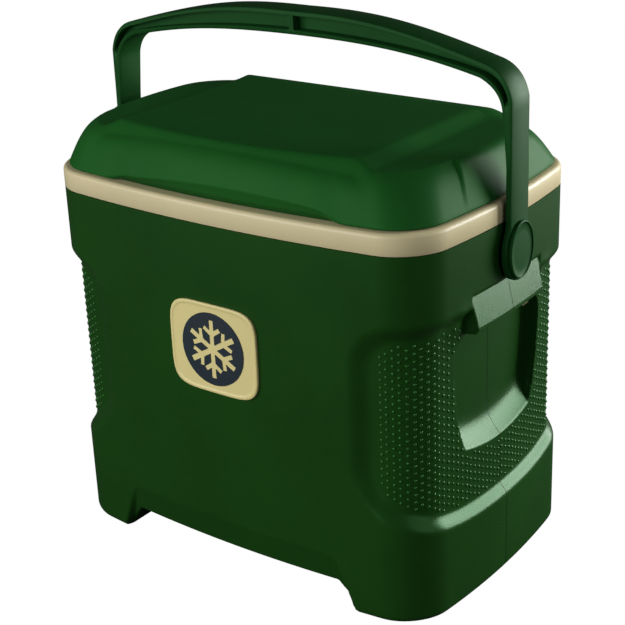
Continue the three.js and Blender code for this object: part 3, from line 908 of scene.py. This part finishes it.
class ICECHEST_OT_lid(bpy.types.Operator):
    """Domed lid with a raised middle and a finger lift along the front edge"""
    bl_idname = "icechest.lid"
    bl_label = "Lid cover"

    def execute(self, context):
        sizes = context.scene.ice_chest_sizes
        outline = Outline(sizes, steps_for(END_REACH, (0, 98, 34)), steps_for(LONG_REACH, (0, 166, 56)), 16)
        low = LID_LOW[2] / MM
        base = outline.ring(half_x=210, front=142, rear=133, radius=36)
        walls = [(low, 1.2), (low + 0.5, 0.4), (low + 1.6, 0.0)]
        rings = []
        lift_half = sizes.finger_lift / MM
        lifts = []
        for x, y, nx, ny, run, quarter in base:
            u = (x - 6) / lift_half
            lifts.append(LIFT_RISE * smooth((1 - abs(u)) * 4.5) if y < 0 and abs(u) < 1 else 0.0)
        for z, inset in walls:
            rings.append([
                (x - nx * inset, y - ny * (inset + LIFT_SET_BACK * smooth(lift / LIFT_RISE)), z + lift)
                for (x, y, nx, ny, run, quarter), lift in zip(base, lifts)
            ])
        crease = []
        for (x, y, nx, ny, run, quarter), lift in zip(base, lifts):
            u = (x - 24) / (lift_half * 0.86)
            crease.append(CREASE_RISE * max(0.0, 1 - u * u) if y < 0 and abs(u) < 1 else 0.0)
        for share in (0.35, 0.8, 1.0):
            ring = []
            for (x, y, *rest), lift, swell in zip(base, lifts, crease):
                back = LIFT_SET_BACK * smooth(lift / LIFT_RISE) * (1 - share)
                ring.append((x, y + back, low + 2.0 + lift + share * swell))
            rings.append(ring)
        slope_rows = 26
        shoulder = outline.ring(half_x=187, front=124.5, rear=82.5, radius=42)
        start = rings[-1]
        for row in range(1, slope_rows + 1):
            share = row / slope_rows
            ring = []
            for (x0, y0, z0), (x1, y1, *rest) in zip(start, shoulder):
                x, y = x0 + (x1 - x0) * share, y0 + (y1 - y0) * share
                z1 = lid_height(x1, y1, sizes)
                arch = share + 0.30 * math.sin(math.pi * share) * (1 - 0.35 * (y0 < -60))
                ring.append((x, y, z0 + (z1 - z0) * clamp(arch, 0, 1.0)))
            rings.append(ring)
        inner_rows = 60
        for row in range(1, inner_rows):
            keep = 1 - row / inner_rows
            rings.append([
                (x * keep, y * keep, lid_height(x * keep, y * keep, sizes)) for x, y, *rest in shoulder
            ])
        ceiling = 401
        under = []
        for z, half_x, front, rear, radius in (
            (ceiling, 172, 108, 66, 30),
            (379, 197, 129, 118, 24),
            (low, 199, 131, 122, 24),
            (low, 204, 136, 128, 30),
        ):
            inside = outline.ring(half_x=half_x, front=front, rear=rear, radius=radius)
            under.append([(p[0], p[1], z) for p in inside])
        points, faces = join_rings(under + rings, (0, 0, ceiling), (0, 0, lid_height(0, 0, sizes)))
        lid = make_piece("lid_dome", points, faces, lid_green())
        stand_for(lid, "lid", "lid_green", "lid_cover")
        return {"FINISHED"}


# ---- bail handle ----
PIVOT_Z = 321
EAR_HALF = (22.0, 28.0)
LEG_FOOT = 352  # where a leg starts to widen into its ear
BAIL_HALF_WIDTH = 15.5


def bezier(points, t):
    s = 1 - t
    if len(points) == 3:
        weights = (s * s, 2 * s * t, t * t)
    else:
        weights = (s ** 3, 3 * s * s * t, 3 * s * t * t, t ** 3)
    return tuple(sum(w * p[axis] for w, p in zip(weights, points)) for axis in (0, 1))


def bail_sections(sizes):
    """Sections of the right half from the middle of the grip to the ear's lowest point.

    Each is (outer place, inner place, half width, groove depth), places in X and Z.
    """
    top, outer = BAIL_HIGH[2] / MM, BAIL_HIGH[0] / MM
    leg_in = outer - 6
    grip_out = ((0, top), (70, top + 1), (110, top - 3.5), (198, top - 27))
    grip_in = ((0, top - 21.5), (80, top - 21.5), (130, top - 25.5), (191, top - 39.5))
    turn_out = ((198, top - 27), (218, top - 33), (outer - 0.6, top - 56))
    turn_in = ((191, top - 39.5), (211, top - 47.5), (213, top - 65.5))
    width = BAIL_HALF_WIDTH
    deep = sizes.grip_groove / MM
    rib = sizes.grip_rib / MM / 2
    sections = []
    for t in [0, (rib - 0.2) / 210, (rib + 0.5) / 210] + spread((0.03, 1.0, 30)):
        out, inner = bezier(grip_out, t), bezier(grip_in, t)
        sections.append((out, inner, width, 0.0 if out[0] < rib else deep))
    for t in spread((0.06, 1.0, 16)):
        groove = deep * (1 - smooth((t - 0.72) / 0.28))
        sections.append((bezier(turn_out, t), bezier(turn_in, t), width, groove))
    for t in spread((0.08, 1.0, 12)):
        out = (outer - 0.6 + 0.6 * t, top - 56 + (LEG_FOOT - top + 56) * t)
        low = min(1.0, t * 1.9)
        inner = (213 + (leg_in - 213) * low, top - 65.5 + (LEG_FOOT - top + 65.5) * t)
        sections.append((out, inner, width, 0.0))
    for t in spread((0.05, 1.0, 30)):
        z = LEG_FOOT - (LEG_FOOT - (PIVOT_Z - EAR_HALF[1])) * math.sin(t * math.pi / 2)
        oval = EAR_HALF[0] * math.sqrt(max(0.0, 1 - ((z - PIVOT_Z) / EAR_HALF[1]) ** 2))
        half = soft_max(oval, width, 3) if z > PIVOT_Z + 8 else max(oval, 0.3)
        sections.append(((outer, z), (leg_in, z), half, 0.0))
    return sections


def bail_loop(section, side):
    """Closed loop of points round one section of the handle."""
    (ox, oz), (ix, iz), half, groove = section
    thick = math.hypot(ox - ix, oz - iz)
    rim = min(3.8, thick * 0.3) / thick
    soft = min(2.4, thick * 0.28, half * 0.9)
    edge = soft / thick
    front = [(0.0, half - soft), (edge * 0.3, half - soft * 0.3), (edge, half)]
    front += [(rim + edge * 0.15, half), (rim + 0.25 * edge, half - min(0.3, groove))]
    front += [(rim + 0.45 * edge, half - groove), (0.5, half - groove)]
    whole = front + [(1 - v, y) for v, y in reversed(front[:-1])]
    loop = [(v, -y) for v, y in whole] + [(v, y) for v, y in reversed(whole)]
    return [(side * (ix + (ox - ix) * v), y, iz + (oz - iz) * v) for v, y in loop]


class ICECHEST_OT_bail(bpy.types.Operator):
    """Bail handle with channelled faces, a middle rib and oval pivot ears"""
    bl_idname = "icechest.bail"
    bl_label = "Bail handle"

    def execute(self, context):
        sections = bail_sections(context.scene.ice_chest_sizes)
        left = [bail_loop(section, -1) for section in reversed(sections[1:])]
        right = [bail_loop(section, 1) for section in sections]
        poles = []
        for side in (-1, 1):
            (ox, oz), (ix, iz), half, groove = sections[-1]
            poles.append((side * (ox + ix) / 2, 0, oz))
        points, faces = join_rings(left + right, poles[0], poles[1])
        bail = make_piece("bail", points, faces, handle_green())
        harden(bail, 38)
        stand_for(bail, "bail", "handle_green", "bail_handle")
        return {"FINISHED"}


class ICECHEST_OT_caps(bpy.types.Operator):
    """Oval caps over the handle's pivots"""
    bl_idname = "icechest.caps"
    bl_label = "Pivot caps"

    def execute(self, context):
        start, end = CAP_LOW[0] / MM, CAP_HIGH[0] / MM
        half_y, half_z = (CAP_HIGH[1] - CAP_LOW[1]) / 2 / MM, (CAP_HIGH[2] - CAP_LOW[2]) / 2 / MM
        reach = end - start
        profile = [(1.0, 0.0), (1.0, 0.62), (0.985, 0.82), (0.95, 0.97), (0.90, 1.0), (0.87, 0.93)]
        profile += [(0.85, 0.7), (0.82, 0.62), (0.6, 0.7), (0.4, 0.74), (0.2, 0.76)]
        for side, label in ((-1, "left"), (1, "right")):
            rings = []
            for scale, out in profile:
                inset_y, inset_z = half_y - 12 * (1 - scale), half_z - 14 * (1 - scale)
                if scale < 0.8:
                    inset_y, inset_z = (half_y - 3) * scale / 0.82, (half_z - 3.5) * scale / 0.82
                turns = [2 * math.pi * i / 72 for i in range(72)]
                rings.append([
                    (side * (start + reach * out), inset_y * math.cos(t), PIVOT_Z + inset_z * math.sin(t))
                    for t in turns
                ])
            ends = [(side * start, 0, PIVOT_Z), (side * (start + reach * 0.77), 0, PIVOT_Z)]
            points, faces = join_rings(rings, ends[0], ends[1])
            cap = make_piece(f"cap_{label}", points, faces, handle_green())
            stand_for(cap, "bail", "handle_green", f"pivot_cap_{label}")
        return {"FINISHED"}


# ---- badge ----
def front_skin(x, sizes):
    """Where the front face is over a place along the length."""
    front, bow = -SHELL_LOW[1] / MM, sizes.front_bow / MM
    half = TUB_HIGH[0] / MM - sizes.end_bow / MM
    return -(front - bow + bow * (1 - (x / half) ** 2))


SQUARENESS = 5.0  # 2 is an oval; higher is closer to a rectangle


class ICECHEST_OT_badge(bpy.types.Operator):
    """Tan plaque with a raised border, following the curve of the front"""
    bl_idname = "icechest.badge"
    bl_label = "Badge plaque"

    def execute(self, context):
        sizes = context.scene.ice_chest_sizes
        half_x, half_z = (BADGE_HIGH[0] - BADGE_LOW[0]) / 2 / MM, (BADGE_HIGH[2] - BADGE_LOW[2]) / 2 / MM
        middle = (BADGE_HIGH[2] + BADGE_LOW[2]) / 2 / MM
        face_out = 2.6
        profile = [(0.0, 0.3), (0.0, 2.2), (0.3, 2.9), (1.0, 3.2), (2.4, 3.25), (2.9, 3.1), (3.3, 2.75)]
        profile += [(4.2, face_out), (7, face_out)]
        sides = 120
        rings = []
        for inset, out in profile:
            ring = []
            for i in range(sides):
                turn = 2 * math.pi * (i + 0.5) / sides
                cx, cz = math.cos(turn), math.sin(turn)
                wide = abs(cx / (half_x - inset)) ** SQUARENESS
                high = abs(cz / (half_z - inset)) ** SQUARENESS
                reach = (wide + high) ** (-1 / SQUARENESS)
                x, z = cx * reach, cz * reach
                ring.append((x, front_skin(x, sizes) - out, middle + z))
            rings.append(ring)
        last = rings[-1]
        for keep in (0.85, 0.7, 0.5, 0.3, 0.12):
            rings.append([
                (x * keep, front_skin(x * keep, sizes) - face_out, middle + (z - middle) * keep)
                for x, y, z in last
            ])
        back, face = (0, front_skin(0, sizes) - 0.3, middle), (0, front_skin(0, sizes) - face_out, middle)
        inner = [
            (x * 0.5, front_skin(x * 0.5, sizes) - 0.3, middle + (z - middle) * 0.5) for x, y, z in rings[0]
        ]
        points, faces = join_rings([inner] + rings, back, face)
        plaque = make_piece("badge_plaque", points, faces, plaque_tan())
        stand_for(plaque, "chest", "cream", "badge_plate")
        return {"FINISHED"}


# ---- hinges and their screws ----
HEAD_HEIGHT = 1.3
HEAD_RADIUS = 0.003


def screw_master():
    """Pan head of radius 1 with a cross recess, along Z."""
    rings = []
    turns = [2 * math.pi * (i + 0.5) / 24 for i in range(24)]
    for across, up in ((1.0, 0.0), (1.0, 0.16), (0.92, 0.34), (0.74, 0.43), (0.56, 0.46)):
        rings.append([(across * math.cos(t), across * math.sin(t), up) for t in turns])
    cross = []
    for t in turns:
        arm = abs(math.cos(2 * t)) > 0.72
        reach = 0.46 if arm else 0.15
        cross.append((reach * math.cos(t), reach * math.sin(t), 0.46))
    sunk = [(x * 0.8, y * 0.8, 0.2) for x, y, z in cross]
    return join_rings(rings + [cross, sunk], (0, 0, 0), (0, 0, 0.14))


class ICECHEST_OT_screws(bpy.types.Operator):
    """Pan head screws in the hinge leaves, one mesh for the body and one for the lid"""
    bl_idname = "icechest.screws"
    bl_label = "Hinge screws"

    def execute(self, context):
        for part, body in (("body", "chest"), ("lid", "lid")):
            places, names = [], []
            for side in ("left", "right"):
                for which in ("a", "b"):
                    node = f"hinge_screw_{part}_{side}_{which}"
                    low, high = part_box(node)
                    x, z = (low[0] + high[0]) / 2 / MM, (low[2] + high[2]) / 2 / MM
                    places.append(((x, high[1] / MM - HEAD_HEIGHT, z), (0, 1, 0)))
                    names.append(node)
            points, faces = screw_master()
            screws = set_on_points(f"screws_{part}", places, points, faces, HEAD_RADIUS, zinc_steel())
            harden(screws, 35)
            stand_for(screws, body, "steel", *names)
        return {"FINISHED"}


class ICECHEST_OT_finishes(bpy.types.Operator):
    """Finishes for the pieces that keep their own shape"""
    bl_idname = "icechest.finishes"
    bl_label = "Finishes of the kept pieces"

    def execute(self, context):
        kinds = (
            ("hinge_pin", zinc_steel), ("pivot_pin", zinc_steel), ("pivot_bush", black_nylon),
            ("hinge_", cream_plastic), ("lid_pan", cream_plastic), ("foam", rigid_foam),
            ("badge_emblem", emblem_blue),
        )
        for name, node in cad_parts.items():
            for part, maker in kinds:
                if part in name:
                    node.data.materials.clear()
                    node.data.materials.append(maker())
                    break
        return {"FINISHED"}


# ---- stage ----
def aim(thing, place, target):
    place, target = Vector(place), Vector(target)
    thing.location = place
    thing.rotation_euler = (place - target).to_track_quat("Z", "Y").to_euler()


class ICECHEST_OT_stage(bpy.types.Operator):
    """Pale floor, soft lights and the camera"""
    bl_idname = "icechest.stage"
    bl_label = "Studio"

    def execute(self, context):
        scene = context.scene
        studio, colours = scene.ice_chest_studio, scene.ice_chest_colours
        collection = context.collection
        floor_mesh = bpy.data.meshes.new("floor")
        reach = 6.0
        corners = [(-reach, -reach, 0), (reach, -reach, 0), (reach, reach, 0), (-reach, reach, 0)]
        floor_mesh.from_pydata(corners, [], [(0, 1, 2, 3)])
        floor = bpy.data.objects.new("floor", floor_mesh)
        collection.objects.link(floor)
        paint = bpy.data.materials.new("studio floor")
        paint.use_nodes = True
        tree = paint.node_tree
        shader = tree.nodes["Principled BSDF"]
        shader.inputs["Base Color"].default_value = (*tint(colours.floor, studio.floor_bounce), 1)
        shader.inputs["Roughness"].default_value = 0.9
        shader.inputs["Specular IOR Level"].default_value = 0.0
        glow, pick = tree.nodes.new("ShaderNodeEmission"), tree.nodes.new("ShaderNodeMixShader")
        glow.inputs["Color"].default_value = (*colours.floor, 1)
        glow.inputs["Strength"].default_value = 1.13
        path = tree.nodes.new("ShaderNodeLightPath")
        seen = math_node(tree, "MULTIPLY", path.outputs["Is Camera Ray"], 0.93)
        tree.links.new(seen, pick.inputs["Fac"])
        tree.links.new(shader.outputs["BSDF"], pick.inputs[1])
        tree.links.new(glow.outputs["Emission"], pick.inputs[2])
        tree.links.new(pick.outputs["Shader"], tree.nodes["Material Output"].inputs["Surface"])
        floor_mesh.materials.append(paint)

        world = bpy.data.worlds.new("studio")
        world.use_nodes = True
        sky = world.node_tree
        sky.nodes["Background"].inputs["Color"].default_value = (1, 1, 1, 1)
        seen = sky.nodes.new("ShaderNodeLightPath").outputs["Is Camera Ray"]
        strength = range_node(sky, seen, 0.0, 1.0, studio.sky, 1.0)
        sky.links.new(strength, sky.nodes["Background"].inputs["Strength"])
        scene.world = world
        scene.view_settings.view_transform = "Standard"

        for name, place, width, height, power in (
            ("front", (-0.8, -2.1, 0.85), 2.4, 1.5, studio.front_power),
            ("right", (2.1, -0.4, 0.75), 1.4, 1.2, studio.right_power),
            ("rear", (1.25, 1.55, 0.66), 1.4, 1.2, studio.rear_power),
        ):
            lamp = bpy.data.lights.new(name, "AREA")
            lamp.shape = "RECTANGLE"
            lamp.size = width
            lamp.size_y = height
            lamp.energy = power
            holder = bpy.data.objects.new(name, lamp)
            collection.objects.link(holder)
            aim(holder, place, (0, 0, 0.22))

        yaw, pitch, roll = studio.camera_yaw, studio.camera_pitch, studio.camera_roll
        back = Vector((math.sin(yaw) * math.cos(pitch), -math.cos(yaw) * math.cos(pitch), math.sin(pitch)))
        level = Vector((math.cos(yaw), math.sin(yaw), 0))
        rise = back.cross(level)
        across = level * math.cos(roll) + rise * math.sin(roll)
        upward = -level * math.sin(roll) + rise * math.cos(roll)
        lens = bpy.data.cameras.new("camera")
        lens.sensor_width = 36
        lens.lens = studio.camera_lens
        camera = bpy.data.objects.new("camera", lens)
        collection.objects.link(camera)
        camera.matrix_world = Matrix((across, upward, back)).transposed().to_4x4()
        camera.location = studio.camera_place
        scene.camera = camera
        return {"FINISHED"}


STEPS = (
    ICECHEST_OT_stage,
    ICECHEST_OT_shell,
    ICECHEST_OT_foam,
    ICECHEST_OT_dots,
    ICECHEST_OT_tub,
    ICECHEST_OT_lid,
    ICECHEST_OT_bail,
    ICECHEST_OT_caps,
    ICECHEST_OT_badge,
    ICECHEST_OT_screws,
    ICECHEST_OT_finishes,
)


class ICECHEST_PT_panel(bpy.types.Panel):
    """Sizes, colours and build steps of the ice chest"""
    bl_label = "Ice chest"
    bl_idname = "ICECHEST_PT_panel"
    bl_space_type = "VIEW_3D"
    bl_region_type = "UI"
    bl_category = "Ice chest"

    def draw(self, context):
        layout = self.layout
        for step in STEPS:
            layout.operator(step.bl_idname)
        scene = context.scene
        for group in (scene.ice_chest_sizes, scene.ice_chest_colours, scene.ice_chest_studio):
            column = layout.box().column()
            for name in group.bl_rna.properties.keys():
                if name not in {"rna_type", "name"}:
                    column.prop(group, name)


CLASSES = (IceChestSizes, IceChestColours, IceChestStudio, *STEPS, ICECHEST_PT_panel)


def register():
    for kind in CLASSES:
        bpy.utils.register_class(kind)
    bpy.types.Scene.ice_chest_sizes = PointerProperty(type=IceChestSizes)
    bpy.types.Scene.ice_chest_colours = PointerProperty(type=IceChestColours)
    bpy.types.Scene.ice_chest_studio = PointerProperty(type=IceChestStudio)


def unregister():
    del bpy.types.Scene.ice_chest_studio
    del bpy.types.Scene.ice_chest_colours
    del bpy.types.Scene.ice_chest_sizes
    for kind in reversed(CLASSES):
        bpy.utils.unregister_class(kind)


def main():
    register()
    for step in STEPS:
        group, verb = step.bl_idname.split(".")
        getattr(getattr(bpy.ops, group), verb)()


if __name__ == "__main__":
    main()
